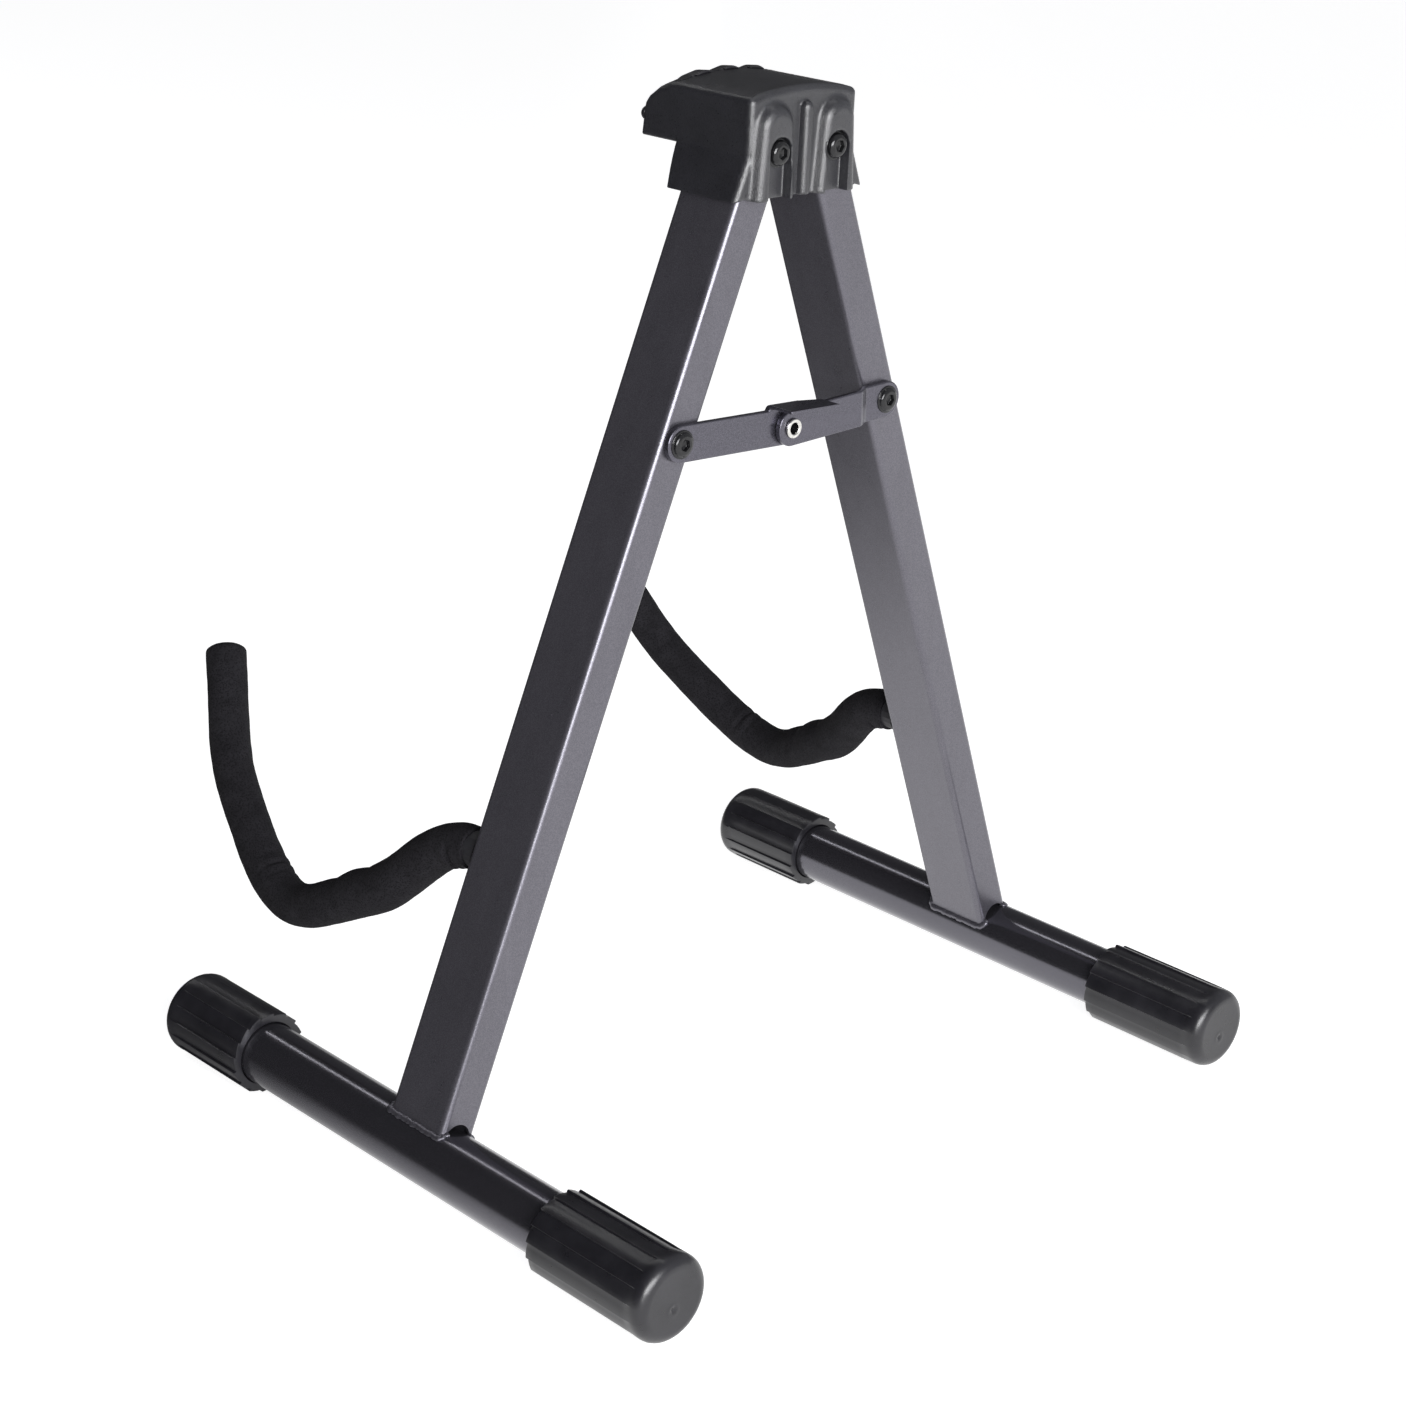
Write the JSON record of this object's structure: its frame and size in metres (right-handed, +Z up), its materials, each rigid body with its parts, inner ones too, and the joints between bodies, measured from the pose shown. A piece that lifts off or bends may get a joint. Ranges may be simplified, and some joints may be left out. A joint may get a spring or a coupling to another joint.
{
  "type": "folding guitar stand",
  "caption": "Folding A-frame guitar stand: box-section legs on round foot tubes, hinged in a moulded head and held open by a locking brace, with foam-covered cradle arms.",
  "frame": {"origin": "on the floor, at the centre of the bounding box", "axes": "+Z up; -Y towards the guitar, the way the cradle arms reach; +X to the right of someone in front of the stand and facing it, the side of the leg whose brace link carries the stop tab"},
  "size_m": [0.3508, 0.34, 0.4047],
  "materials": {
    "paint": "charcoal grey satin powder coat with a faint metallic fleck",
    "moulding": "black moulded nylon with a fine grain",
    "rubber": "black rubber, semi-gloss",
    "foam": "black closed-cell foam, matt and finely pored",
    "black_steel": "black oxide, glossy",
    "nickel": "bright nickel plate"
  },
  "bodies": {
    "head": {"hinge_head": "moulding", "neck_bumper": "rubber", "pivot_screw_right": "black_steel", "pivot_washer_right": "black_steel", "pivot_nut_right": "black_steel", "pivot_screw_left": "black_steel", "pivot_washer_left": "black_steel", "pivot_nut_left": "black_steel"},
    "right_leg": {"leg_right": "paint", "foot_tube_right": "paint", "foot_cap_right_rear": "rubber", "foot_cap_right_front": "rubber", "arm_rod_right": "black_steel", "arm_foam_right": "foam", "arm_collar_right": "rubber", "brace_insert_right": "black_steel", "brace_screw_right": "black_steel"},
    "left_leg": {"leg_left": "paint", "foot_tube_left": "paint", "foot_cap_left_rear": "rubber", "foot_cap_left_front": "rubber", "arm_rod_left": "black_steel", "arm_foam_left": "foam", "arm_collar_left": "rubber", "brace_insert_left": "black_steel", "brace_screw_left_thread": "black_steel"},
    "right_link": {"brace_link_right": "paint", "centre_rivet": "nickel"},
    "left_link": {"brace_link_left": "paint", "brace_screw_left": "black_steel"}
  },
  "joints": [
    {"name": "leg_fold", "type": "hinge", "parent": "head", "child": "right_leg", "pos_m": [0.015, 0.03272, 0.3816], "axis": [0, 1, 0], "range_deg": [0, 21]},
    {"name": "left_leg_fold", "type": "hinge", "parent": "head", "child": "left_leg", "pos_m": [-0.015, 0.03272, 0.3816], "axis": [0, -1, 0], "range_deg": [0, 21]},
    {"name": "right_link_turn", "type": "hinge", "parent": "right_leg", "child": "right_link", "pos_m": [0.05537, 0.04932, 0.27897], "axis": [0, 1, 0], "range_deg": [0, 54.46]},
    {"name": "left_link_turn", "type": "hinge", "parent": "right_link", "child": "left_link", "pos_m": [0, 0.05192, 0.2769], "axis": [0, -1, 0], "range_deg": [0, 150.91]}
  ],
  "couplings": [
    {"joint": "left_leg_fold", "follows": "leg_fold", "ratio": 1},
    {"joint": "right_link_turn", "follows": "leg_fold", "ratio": 2.5931},
    {"joint": "left_link_turn", "follows": "leg_fold", "ratio": 7.1862}
  ]
}
